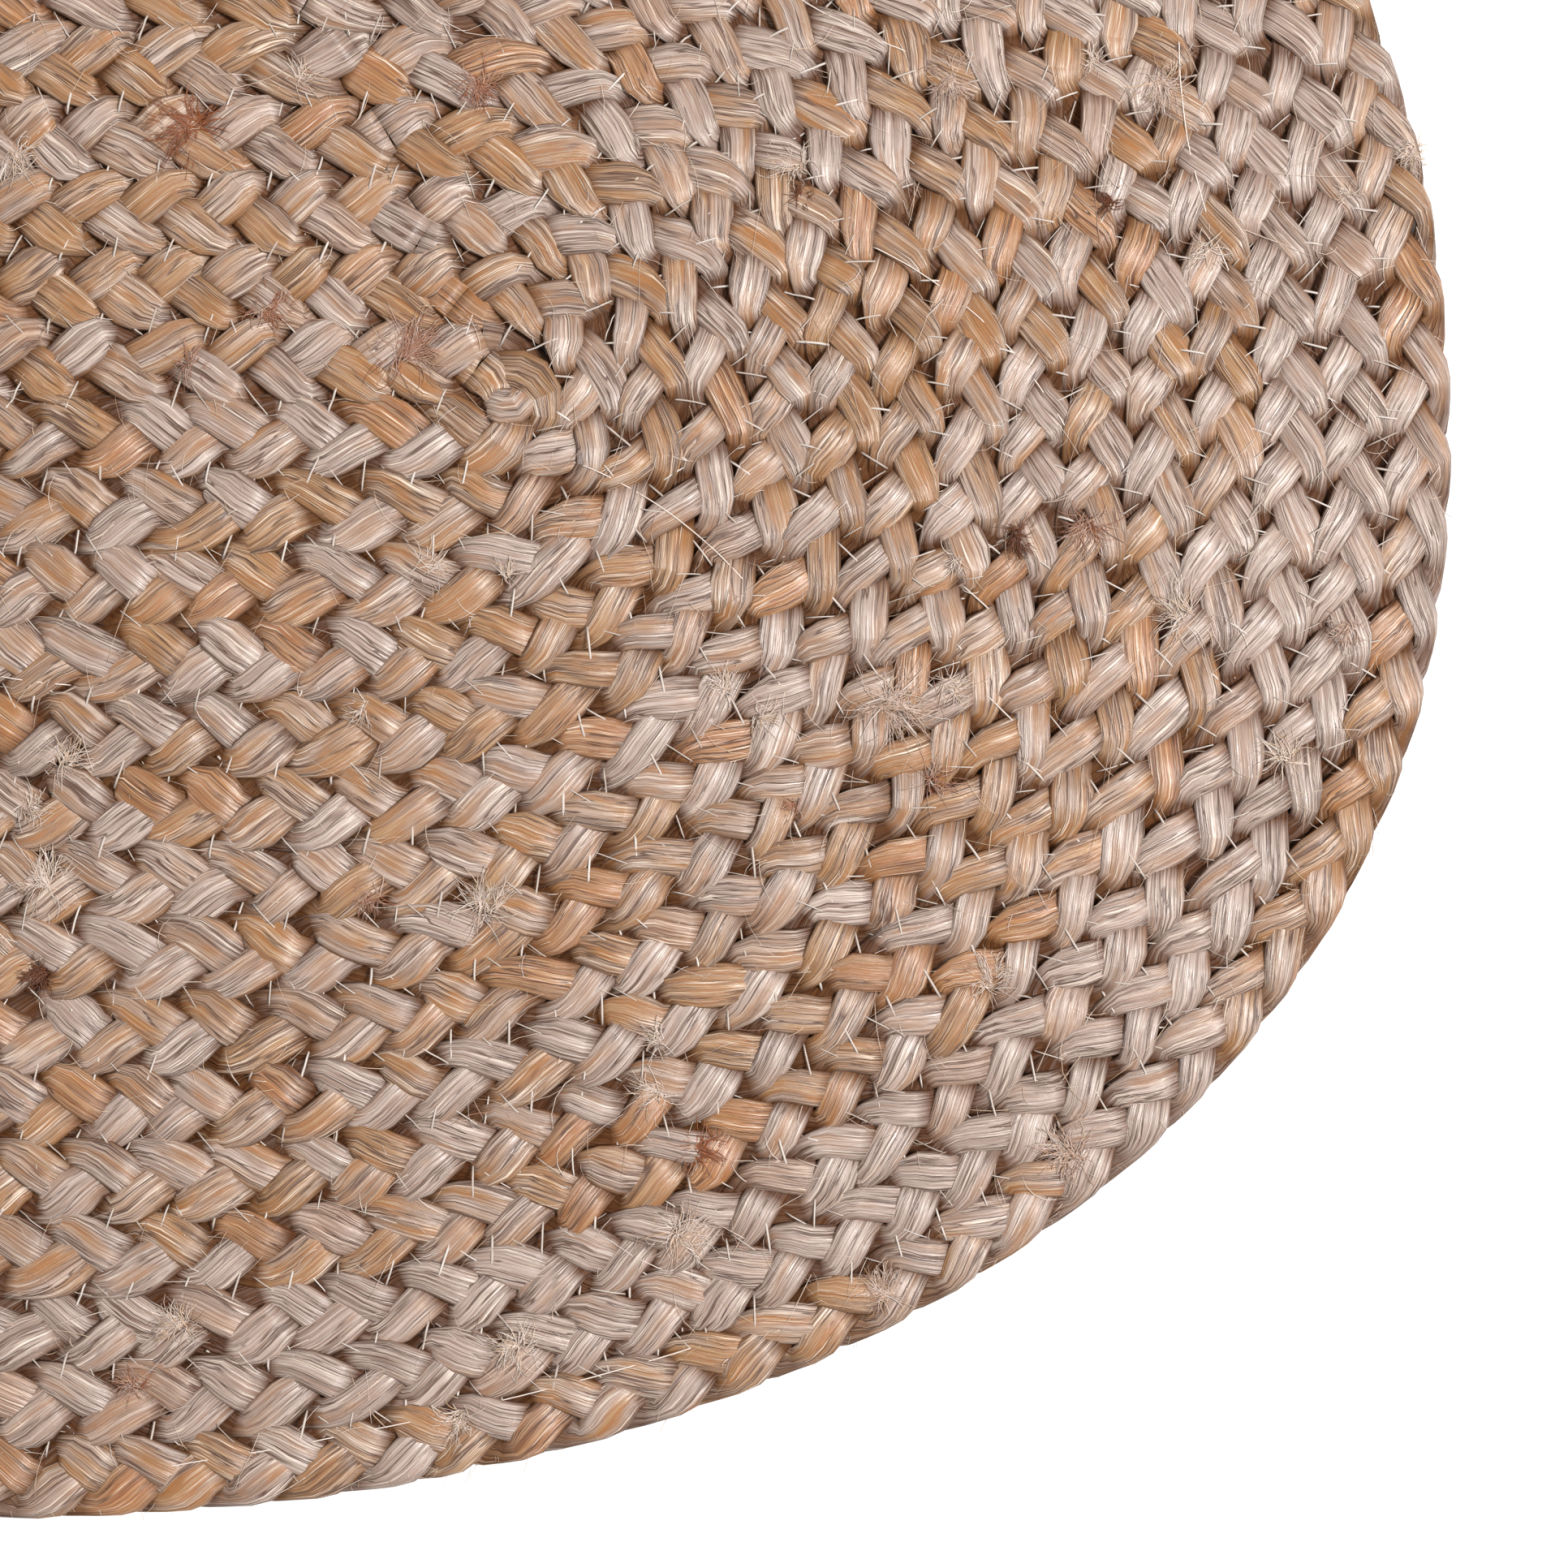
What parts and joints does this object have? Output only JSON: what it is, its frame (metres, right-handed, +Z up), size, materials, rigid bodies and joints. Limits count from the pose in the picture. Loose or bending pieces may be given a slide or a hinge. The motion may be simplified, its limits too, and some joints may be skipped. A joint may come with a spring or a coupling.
{
  "type": "area rug",
  "caption": "Oval braided jute area rug, a flat spiral of three-strand plait sewn turn to turn with zigzag thread; lies flat on a floor.",
  "frame": {"origin": "centre of the bounding box on the underside, on the floor under the middle of the rug", "axes": "+X along the long axis of the oval, towards the end where the plait first bends; +Y along the short axis; +Z up, out of the walking surface"},
  "size_m": [0.9004, 0.5997, 0.009],
  "materials": {
    "jute_plait": "natural jute fibre bundles, combed and silky, three-strand plait, undyed tan to grey-taupe",
    "seam_thread": "thin twisted pale grey sewing thread in a zigzag"
  },
  "bodies": {
    "root": {"plait_middle_row": "jute_plait", "plait_turn_01": "jute_plait", "plait_turn_02": "jute_plait", "plait_turn_03": "jute_plait", "plait_turn_04": "jute_plait", "plait_turn_05": "jute_plait", "plait_turn_06": "jute_plait", "plait_turn_07": "jute_plait", "plait_turn_08": "jute_plait", "plait_turn_09": "jute_plait", "plait_turn_10": "jute_plait", "plait_turn_11": "jute_plait", "plait_turn_12": "jute_plait", "plait_turn_13": "jute_plait", "plait_turn_14": "jute_plait", "plait_turn_15": "jute_plait", "plait_tail": "jute_plait", "seam_thread_01": "seam_thread", "seam_thread_02": "seam_thread", "seam_thread_03": "seam_thread", "seam_thread_04": "seam_thread", "seam_thread_05": "seam_thread", "seam_thread_06": "seam_thread", "seam_thread_07": "seam_thread", "seam_thread_08": "seam_thread", "seam_thread_09": "seam_thread", "seam_thread_10": "seam_thread", "seam_thread_11": "seam_thread", "seam_thread_12": "seam_thread", "seam_thread_13": "seam_thread", "seam_thread_14": "seam_thread", "seam_thread_15": "seam_thread", "seam_thread_tail": "seam_thread"}
  },
  "joints": []
}
